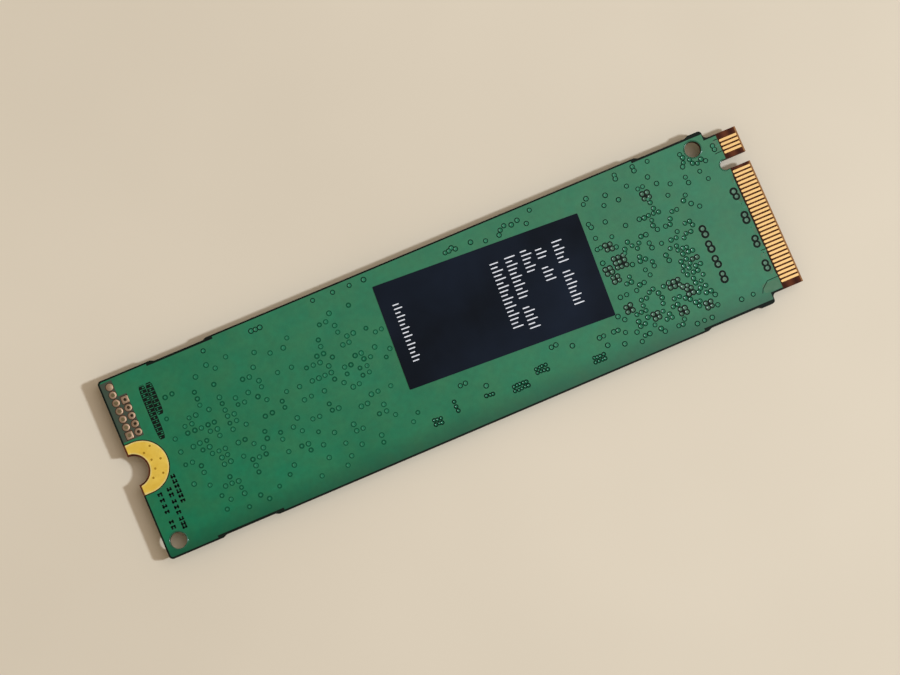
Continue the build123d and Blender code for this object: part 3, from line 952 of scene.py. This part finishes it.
def fan_out(level, dull, pale, dark):
    """By the contacts: dull patches of fine tracks, single tracks, and hairlines that part the copper."""
    step = POUR_RISE / 4
    patches = [(*patch, 0.0) for patch in TRACK_PATCHES]
    done(bars(patches, level, level + step), "fine_track_patches", "solder_mask", dull)
    low, high = level + step, level + 2 * step
    done(bars(runs(TRACKS, TRACK_WIDTH), low, high), "tracks_back", "solder_mask", pale)
    done(bars(runs(GAP_LINES, GAP_WIDTH), low, high), "copper_gaps_back", "solder_mask", dark)


def legends(level, dark, light):
    """Etched legends by the screw end: plain bars, and the mask that shows between them."""
    rows = [(x, (y0 + y1) / 2, width, y1 - y0, 0.0) for x, width, y0, y1 in LEGEND_STRIPS]
    chance = random.Random(LEGEND_SEED)
    for x, column in LEGEND_COLUMNS:
        for y in column:
            for offset in MARK_LEGS:
                rows.append((x + offset, y, LEG_WIDTH, chance.uniform(*LEG_LENGTHS), 0.0))
            rows.append((x, y + chance.uniform(-MARK_STRAY, MARK_STRAY), *MARK_BAR, 0.0))
    top = level + POUR_RISE / 2
    done(bars(rows, level, top), "legend_bars", "solder_mask", dark)
    rows = []
    for x, width, y0, y1 in LEGEND_STRIPS:
        for step in range(int((y1 - y0) / LEGEND_PITCH)):
            y = y0 + (step + 0.5) * LEGEND_PITCH
            rows.append((x, y + LONG_OFFSET, width * LONG_SHARE, LONG_OPENING, 0.0))
            stray = chance.uniform(-SHORT_STRAY, SHORT_STRAY)
            rows.append((x + stray, y, chance.uniform(*SHORT_LENGTHS), SHORT_OPENING, 0.0))
    done(bars(rows, top, top + POUR_RISE / 2), "legend_openings", "solder_mask", light)


# Pads, label, header, contacts and lips


def pad_dots(material):
    """Small probe pricks in the screw pad."""
    model = rod(Vector((0, 0, PRICK_HEIGHT / 2)), PRICK_RADIUS, PRICK_HEIGHT, sides=12)
    pick(model, "faces", facing(1))
    bpy.ops.mesh.inset(thickness=PRICK_RADIUS * PRICK_RIM, depth=-PRICK_DIMPLE)
    fresh()
    places = [Matrix.Translation(spot(x, y, PAD_HIGH.z - PRICK_SINK)) for x, y in PAD_DOTS]
    done(copies(model, places), "screw_pad_pricks", "gold_plate", material)


def label(film, ink):
    """The label's film with softened corners, and its print as plain strokes."""
    middle = (LABEL_LOW + LABEL_HIGH) / 2
    turned = Matrix.Translation((middle.x, middle.y, 0)) @ Matrix.Rotation(LABEL_TURN, 4, "Z")
    top = LABEL_HIGH.z - INK
    centre = Vector((0, 0, (LABEL_LOW.z + top) / 2))
    sheet = plate(centre, *LABEL_SIZE, top - LABEL_LOW.z, LABEL_CORNER)
    done(copies(sheet, [turned]), "label_sheet", "label_film", film, replaces=("label",))
    model = plate(Vector((0, 0, top + INK / 2)), 1, 1, INK, STROKE_CORNER, 2)
    shares = itertools.cycle(STROKE_SHARES)
    places = []
    for along, start, height, groups in PRINT_LINES:
        across = start
        for strokes in groups:
            for _ in range(strokes):
                share = next(shares)
                foot = along - height / 2 * (1 - share)
                size = Matrix.Diagonal((height * share, STROKE, 1, 1))
                places.append(turned @ Matrix.Translation((foot, across, 0)) @ size)
                across -= STROKE_PITCH
            across -= GROUP_SPACE
    done(copies(model, places), "label_print", "label_film", ink)


def header(tin, plug, field_mask):
    """Plated-through pads of the service header, in a field of mask that has no copper under it."""
    low, high = box_mm("header_eyelets")
    boxes = solids("header_eyelets")
    width = boxes[0][1].x - boxes[0][0].x
    middle = (low + high) / 2
    centres = [Vector((*((one + other) / 2).xy, middle.z)) for one, other in boxes]
    outer = [centre for centre in centres if centre.x < middle.x]
    inner = [centre for centre in centres if centre.x > middle.x]
    blind = max(outer, key=lambda centre: centre.y)
    square = (min(outer, key=lambda centre: centre.y), max(inner, key=lambda centre: centre.y))

    def outline(centre, z, size, height):
        """A pad's outline on a level: square with soft corners, or round."""
        place = Vector((centre.x, centre.y, z))
        if centre in square:
            return plate(place, size, size, height, SQUARE_CORNER)
        return rod(place, size / 2, height, sides=20)

    rise = high.z - BOARD_HIGH.z
    height = high.z - low.z
    top = BACK + FIELD_RISE
    field, rest = (block(spot(x0, y0, BOARD_HIGH.z), spot(x1, y1, top)) for x0, x1, y0, y1 in HEADER_FIELDS)
    fuse(field, rest)
    eyelets = []
    plugs = []
    for centre in centres:
        faces = []
        for outward, z in ((1, high.z - rise / 2), (-1, low.z + rise / 2)):
            face = outline(centre, z, width, rise)
            slope_rim(face, outward, HEADER_SLOPE, rise * HEADER_DROP)
            faces.append(face)
        if centre is blind:
            bpy.data.objects.remove(faces.pop())
            eyelets += faces
        else:
            body = rod(centre, HEADER_BARREL, height, sides=16)
            for face in faces:
                fuse(body, face)
            cut(body, rod(centre, HEADER_BORE, height + OVERRUN, sides=16))
            eyelets.append(body)
            if centre in outer:
                plugs.append(rod(centre, HEADER_BORE, height - PLUG_SHORT, sides=16))
                cap = rod(Vector((centre.x, centre.y, high.z)), PLUG_SPREAD, PLUG_CAP, sides=16)
                slope_rim(cap, 1, PLUG_SPREAD / 3, PLUG_CAP / 3)
                plugs.append(cap)
        cut(field, outline(centre, top, width + 2 * HEADER_GAP, OVERRUN))
    done(joined(eyelets), "header_pads", "tin_plate", tin, replaces=("header_eyelets",))
    done(joined(plugs), "header_plugs", "laminate", plug)
    done(field, "header_field", "solder_mask", field_mask)


def contact_row(node, outward, gold, flank):
    """Card-edge contacts with round inner ends and etched, sloping flanks."""
    boxes = solids(node)
    low, high = boxes[0]
    middle = (low + high) / 2
    finger = block(low - middle, high - middle)
    finger.data.materials.append(flank)
    finger.data.materials.append(gold)
    pick(finger, "edges", lambda edge: upright(edge) and edge.verts[0].co.x < 0)
    bpy.ops.mesh.bevel(offset=(high.y - low.y) * CONTACT_ROUND, segments=4, affect="EDGES")
    slope_rim(finger, outward, CONTACT_FLANK, CONTACT_DROP)
    pick(finger, "faces", facing(outward))
    finger.active_material_index = 1
    bpy.ops.object.material_slot_assign()
    fresh()
    places = [Matrix.Translation((one + other) / 2) for one, other in boxes]
    done(copies(finger, places), node + "_shaped", "gold_plate", replaces=(node,))


def tongue_tips(material):
    """The sanded bevels along the tongue's end, on both faces."""
    spans = ((SHOULDER_STEP, KEY_Y - KEY_RADIUS), (KEY_Y + KEY_RADIUS, BOARD_WIDTH - SHOULDER_STEP))
    strips = []
    for outward, face in ((1, BOARD_HIGH.z), (-1, BOARD_LOW.z)):
        low, high = sorted((face + outward * BEVEL_SKIN, face - outward * BEVEL_BITE))
        for y0, y1 in spans:
            start = spot(BOARD_LENGTH - BEVEL_LENGTH, y0 + BEVEL_INSET, low)
            strip = block(start, spot(BOARD_LENGTH, y1 - BEVEL_INSET, high))
            pick(strip, "verts", lambda vert: vert.co.x > BOARD_HIGH.x - BEVEL_LENGTH / 2)
            bpy.ops.transform.translate(value=(0, 0, -outward * BEVEL_DEPTH))
            fresh()
            strips.append(strip)
    done(joined(strips), "tongue_bevels", "laminate", material)


def hole_lips(material):
    """Mask that has drawn back from the routed holes and the key into a low rounded lip."""
    key = spot(KEY_END + KEY_RADIUS, KEY_Y, BOARD_HIGH.z)
    rounds = [(spot(x, y, BOARD_HIGH.z), TOOLING_RADIUS) for x, y in TOOLING_HOLES]
    lips = []
    for centre, radius in (*rounds, (key, KEY_RADIUS)):
        fresh()
        ring = {"major_radius": radius + LIP_WIDTH, "minor_radius": LIP_WIDTH}
        bpy.ops.mesh.primitive_torus_add(location=centre, major_segments=48, minor_segments=12, **ring)
        lip = bpy.context.object
        lip.scale.z = (BACK + LIP_RISE - BOARD_HIGH.z) / LIP_WIDTH
        bpy.ops.object.transform_apply(location=True, rotation=False, scale=True)
        pick(lip, "faces", everywhere)
        bpy.ops.mesh.bisect(plane_co=centre, plane_no=(0, 0, 1), clear_inner=True, use_fill=True)
        lips.append(lip)
    pick(lips[-1], "faces", everywhere)
    bpy.ops.mesh.bisect(plane_co=key, plane_no=(1, 0, 0), clear_outer=True, use_fill=True)
    done(joined(lips), "routed_lips", "solder_mask", material)


# Vias


def via(moat, pad, profile, gap_mask, pad_mask):
    """A tented via: a ring of thin mask round a low button with a dimple in it, on the level z = 0."""
    thin = POUR_RISE / 3
    piece = rod(Vector((0, 0, thin / 2)), moat, thin, sides=12)
    piece.data.materials.append(gap_mask)
    piece.data.materials.append(pad_mask)
    pick(piece, "faces", facing(1))
    bpy.ops.mesh.inset(thickness=moat - pad)
    piece.active_material_index = 1
    bpy.ops.object.material_slot_assign()
    for share, rise in profile:
        bpy.ops.mesh.inset(thickness=pad * share, depth=rise)
    fresh()
    return piece


def via_places(points, level, outward, seed):
    """Where the copies of a via go: each strays, turns and swells a little."""
    chance = random.Random(seed)
    flip = Matrix.Rotation(0 if outward > 0 else math.pi, 4, "X")
    places = []
    for x, y in points:
        stray = Vector((chance.uniform(-1, 1), chance.uniform(-1, 1), 0)) * VIA_DRIFT
        turn = Matrix.Rotation(chance.uniform(0, math.tau), 4, "Z")
        size = Matrix.Scale(chance.uniform(*VIA_SWELL), 4)
        places.append(Matrix.Translation(spot(x, y, level) + stray) @ turn @ flip @ size)
    return places


def grid_points(x, y, columns, rows, pitch_x, pitch_y):
    """Points of a small grid on its middle."""
    return [(x + (c - (columns - 1) / 2) * pitch_x, y + (r - (rows - 1) / 2) * pitch_y)
            for c in range(columns) for r in range(rows)]


def back_vias(level, flush, proud, glossy, bare):
    """All vias of the plain back, in seven sorts. Each finish is a pair: the gap's and the button's."""
    chance = random.Random(GRID_SEED)
    grid = [(GRID_START[0] + c * GRID_PITCH, GRID_START[1] + row * GRID_PITCH)
            for row, columns in GRID_ROWS.items() for c in columns]
    firm = [point for point in grid if chance.random() < FIRM_SHARE]
    faint = [point for point in grid if point not in firm]
    loose = [(x, y) for y, row in VIA_ROWS for x in row]

    def crowded(point):
        close = [other for other in loose if other != point and math.dist(point, other) < CROWD_REACH]
        return len(close) >= CROWD_NEIGHBOURS

    crowd = [point for point in loose if crowded(point)]
    lone = [point for point in loose if point not in crowd]
    knots = [point for knot in KNOTS for point in grid_points(*knot, KNOT_PITCH, KNOT_PITCH)]
    stitches = [point for group in STITCHES for point in grid_points(*group, *STITCH_PITCH)]
    lanes = [(x, y, 1, 2) for x, column in PAIR_COLUMNS for y in column]
    pairs = [point for lane in lanes for point in grid_points(*lane, 0, PAIR_SPACING)]
    sorts = (
        ("faint_grid_vias_back", faint, VIA_MOAT, VIA_PAD, FLAT_BUTTON, flush),
        ("firm_grid_vias_back", firm, VIA_MOAT, FIRM_PAD, FLAT_BUTTON, flush),
        ("lone_vias_back", lone, VIA_MOAT, VIA_PAD, FLAT_BUTTON, proud),
        ("crowded_vias_back", crowd, VIA_MOAT, VIA_PAD, SUNKEN_BUTTON, glossy),
        ("via_knots_back", knots, KNOT_MOAT, VIA_PAD, SUNKEN_BUTTON, bare),
        ("stitching_vias_back", stitches, STITCH_MOAT, STITCH_PAD, SUNKEN_BUTTON, proud),
        ("lane_vias_back", pairs, PAIR_MOAT, PAIR_PAD, FLAT_BUTTON, bare),
    )
    for seed, (name, points, moat, pad, profile, finish_pair) in enumerate(sorts):
        places = via_places(points, level, 1, seed)
        done(copies(via(moat, pad, profile, *finish_pair), places), name, "solder_mask")
    cores = [point for x, y, columns, rows in KNOTS if rows > 1
             for point in grid_points(x, y, columns - 1, rows - 1, KNOT_PITCH, KNOT_PITCH)]
    core = rod(Vector((0, 0, POUR_RISE / 4)), KNOT_CORE, POUR_RISE / 2, sides=8)
    slope_rim(core, 1, KNOT_CORE / 4, POUR_RISE / 4)
    done(copies(core, via_places(cores, level, 1, CORE_SEED)), "via_knot_cores_back", "solder_mask", bare[0])


# Component side


def balls(node, material):
    """Reflowed solder balls under a package, a little bulged between the two boards."""
    boxes = solids(node)
    low, high = boxes[0]
    size = high - low
    fresh()
    bpy.ops.mesh.primitive_uv_sphere_add(segments=10, ring_count=6, radius=0.5)
    ball = bpy.context.object
    ball.scale = (size.x, size.y, size.z * BALL_BULGE)
    bpy.ops.object.transform_apply(location=False, rotation=False, scale=True)
    for outward in (1, -1):
        pick(ball, "faces", everywhere)
        flat = (0, 0, outward * size.z / 2)
        bpy.ops.mesh.bisect(plane_co=flat, plane_no=(0, 0, outward), clear_outer=True, use_fill=True)
    places = [Matrix.Translation((one + other) / 2) for one, other in boxes]
    done(copies(ball, places), node + "_reflowed", "solder", material, replaces=(node,))


def fillets(name, caps, bodies, material):
    """Solder that has crept up the end caps of chip parts: a wedge on the board outside each cap."""
    middles = [(one + other) / 2 for one, other in solids(bodies)]
    wedge = block(Vector((0, -0.5, -1)), Vector((1, 0.5, 0)))
    pick(wedge, "edges", lambda edge: all(vert.co.z < -0.5 and vert.co.x > 0.5 for vert in edge.verts))
    bpy.ops.transform.translate(value=(-FILLET_TAPER, 0, 0))
    pick(wedge, "faces", lambda face: face.normal.x > 0.5)
    bpy.ops.mesh.subdivide(number_cuts=2)
    pick(wedge, "verts", lambda vert: 0.1 < -vert.co.z < 0.9)
    bpy.ops.transform.translate(value=FILLET_HOLLOW)
    fresh()
    places = []
    for low, high in solids(caps):
        cap = (low + high) / 2
        size = high - low
        away = cap - min(middles, key=lambda middle: (middle - cap).length)
        if abs(away.x) > abs(away.y):
            turn, span, reach = (0 if away.x > 0 else math.pi), size.y, size.x / 2
        else:
            turn, span, reach = math.copysign(math.pi / 2, away.y), size.x, size.y / 2
        direction = Vector((math.cos(turn), math.sin(turn), 0))
        foot = Vector((cap.x, cap.y, FRONT)) + direction * (reach - FILLET_LAP)
        shape = Matrix.Diagonal((FILLET_REACH, span * FILLET_SPAN, size.z * FILLET_CLIMB, 1))
        places.append(Matrix.Translation(foot) @ Matrix.Rotation(turn, 4, "Z") @ shape)
    done(copies(wedge, places), name, "solder", material)


def front_vias(level, gap, button):
    """Vias between the parts of the component side, clear of everything mounted there."""
    chance = random.Random(FRONT_PLACE_SEED)
    taken = []
    for node in slots:
        if box_mm(node)[1].z < FRONT + MOUNT_SLACK:
            taken += solids(node)
    points = []
    while len(points) < FRONT_VIA_COUNT:
        x = chance.uniform(*FRONT_VIA_SPAN)
        y = chance.uniform(FRONT_VIA_MARGIN, BOARD_WIDTH - FRONT_VIA_MARGIN)
        place = spot(x, y)
        clear = all(place.x < low.x - VIA_ROOM or place.x > high.x + VIA_ROOM or
                    place.y < low.y - VIA_ROOM or place.y > high.y + VIA_ROOM for low, high in taken)
        apart = all(math.hypot(x - a, y - b) > VIA_SPACING for a, b in points)
        holes = all(math.hypot(x - a, y - b) > TOOLING_RADIUS + VIA_ROOM for a, b in TOOLING_HOLES)
        inside = TAB_MARGIN < y < BOARD_WIDTH - TAB_MARGIN
        tabs = inside or not any(x0 < x < x1 for x0, x1 in TAB_SPANS)
        if clear and apart and holes and tabs:
            points.append((x, y))
    places = via_places(points, level, -1, FRONT_VIA_SEED)
    done(copies(via(VIA_MOAT, VIA_PAD, FLAT_BUTTON, gap, button), places), "vias_front", "solder_mask")


# Stage


def camera():
    """Looks down on the drive as in the photograph, from its screw end and lower edge."""
    data = bpy.data.cameras.new("camera")
    data.sensor_width = SENSOR
    data.lens = LENS
    seen = bpy.data.objects.new("camera", data)
    bpy.context.collection.objects.link(seen)
    eye = (CAMERA_PLACE + Vector((0, 0, BACK))) * MM
    turn = Euler([math.radians(angle) for angle in CAMERA_TURN])
    seen.matrix_world = Matrix.Translation(eye) @ turn.to_matrix().to_4x4()
    bpy.context.scene.camera = seen


def lamp(name, place, target, size, power, colour):
    """A square lamp that faces a point. Places and its size are in metres."""
    data = bpy.data.lights.new(name, "AREA")
    data.size = size
    data.energy = power
    data.color = linear(colour)[:3]
    made = bpy.data.objects.new(name, data)
    bpy.context.collection.objects.link(made)
    aim = (Vector(target) - Vector(place)).to_track_quat("-Z", "Y")
    made.matrix_world = Matrix.Translation(place) @ aim.to_matrix().to_4x4()


def surroundings():
    """Pale room: soft light from all round, and a pale wall for metal and gloss to mirror."""
    world = bpy.data.worlds.new("room")
    bpy.context.scene.world = world
    world.use_nodes = True
    tree = world.node_tree
    tree.nodes.clear()
    rays = add(tree, "ShaderNodeLightPath").outputs
    seen = rays["Is Camera Ray"]
    for kind in ("Is Glossy Ray", "Is Transmission Ray"):
        seen = add(tree, "ShaderNodeMath", {0: seen, 1: rays[kind]}, operation="MAXIMUM").outputs["Value"]
    light = add(tree, "ShaderNodeBackground", {"Color": linear("#ffebce"), "Strength": 0.43}).outputs[0]
    wall = add(tree, "ShaderNodeBackground", {"Color": linear("#f4ece0"), "Strength": 0.54}).outputs[0]
    mix = add(tree, "ShaderNodeMixShader", {0: seen, 1: light, 2: wall})
    add(tree, "ShaderNodeOutputWorld", {"Surface": mix.outputs[0]})


def floor():
    """The table that the drive lies on."""
    fresh()
    bpy.ops.mesh.primitive_plane_add(size=TABLE_SIZE * MM, location=(0, 0, -TABLE_DROP * MM))
    table = bpy.context.object
    table.name = "table"
    table.data.materials.append(table_top())


# The drive

on_copper = mask_on_copper()
on_laminate = mask_on_laminate()
on_tracks = mask_on_tracks("solder_mask_cured_on_fine_tracks", "#356547", "#4a7057")
on_resin = mask_on_tracks("solder_mask_cured_on_clear_resin", "#2c4436", "#414438")
pale_gap = mask_in_moat("solder_mask_in_wide_gap", "#0a452d", "#0f5237")
dark_gap = mask_in_moat("solder_mask_in_via_gap", "#031a10", "#072a1c")
finishes = {
    "laminate": glass_laminate(),
    "solder_mask": on_laminate,
    "gold_plate": immersion_gold(),
    "tin_plate": bright_tin(),
    "label_film": label_film(),
    "package_substrate": package_laminate(),
    "mould_compound": moulding_compound(),
    "solder": solder(),
    "ferrite": ferrite(),
    "crystal_ceramic": fired_ceramic("alumina_tray_fired", "#8d8474", "#a59c8a", roughness=0.6),
    "crystal_lid_metal": crystal_lid(),
    "capacitor_ceramic": fired_ceramic("titanate_ceramic_fired", "#a0835f", "#b99b75", roughness=0.45),
    "resistor_ceramic": fired_ceramic("resistor_glaze_fired", "#161617", "#242424", roughness=0.3),
    "fuse_ceramic": fired_ceramic("fuse_ceramic_fired", "#c4c2b6", "#d8d6cb", roughness=0.55),
}
slots = {part["node"]: part["material_slot"] for part in frame["record"]["subparts"]}
for node, slot in slots.items():
    materials = frame["nodes"][node].data.materials
    materials.clear()
    materials.append(finishes[slot])

flat_button = mask_on_via("solder_mask_tented_flush", "#066846", "#107351", roughness=0.30, gloss=0.40)
bright_button = mask_on_via("solder_mask_tented_proud", "#086a48", "#127553", roughness=0.24, gloss=0.45)
glossy_button = mask_on_via("solder_mask_tented_sunken", "#0d6746", "#187352", roughness=0.20, gloss=0.55)
bare_button = mask_on_via(
    "solder_mask_tented_on_bare_laminate", "#33604a", "#4c7860", roughness=0.25, gloss=0.5,
)
copper_pour("copper_pour_back", BACK, 1, on_copper)
copper_pour("copper_pour_front", FRONT, -1, on_copper)
fan_out(BACK + POUR_RISE, on_tracks, bright_button, on_laminate)
tongue_tips(sanded_bevel())
hole_lips(mask_on_via("solder_mask_drawn_into_lip", "#0a4a32", "#115a40", roughness=0.2, gloss=0.5))
back_vias(
    BACK + POUR_RISE, (pale_gap, flat_button), (dark_gap, bright_button), (dark_gap, glossy_button),
    (on_laminate, bare_button),
)
legends(BACK + POUR_RISE, on_laminate, on_copper)
pad_dots(probe_dent_gold_painted_shade())
label(finishes["label_film"], label_ink())
header(header_tin(), hole_plug(), on_resin)
gold = hard_gold()
flank = copper_flank()
contact_row("contacts_back", 1, gold, flank)
contact_row("contacts_front", -1, gold, flank)

for package in PACKAGES:
    eased(package + "_mould", MOULD_EASE, segments=2)
    eased(package + "_substrate", SUBSTRATE_EASE, segments=1)
    balls(package + "_balls", finishes["solder"])
front_vias(FRONT - POUR_RISE, dark_gap, flat_button)
for chip in CHIP_EASES:
    fillets(chip + "_fillets", chip + "_caps", chip + "_bodies", finishes["solder"])
for node, width in PART_EASES.items():
    eased(node, width, segments=2)
for chip, (body, cap) in CHIP_EASES.items():
    eased(chip + "_bodies", body, segments=2)
    eased(chip + "_caps", cap, segments=2)

bpy.context.scene.view_settings.view_transform = "Standard"
camera()
surroundings()
floor()
lamp("key", place=(0.455, -0.18, 0.54), target=(0, 0, 0), size=0.06, power=4.0, colour="#e7f4ff")
lamp("overhead", place=(0.30, 0.05, 0.75), target=(0.02, 0, 0), size=0.5, power=1.15, colour="#ffffff")
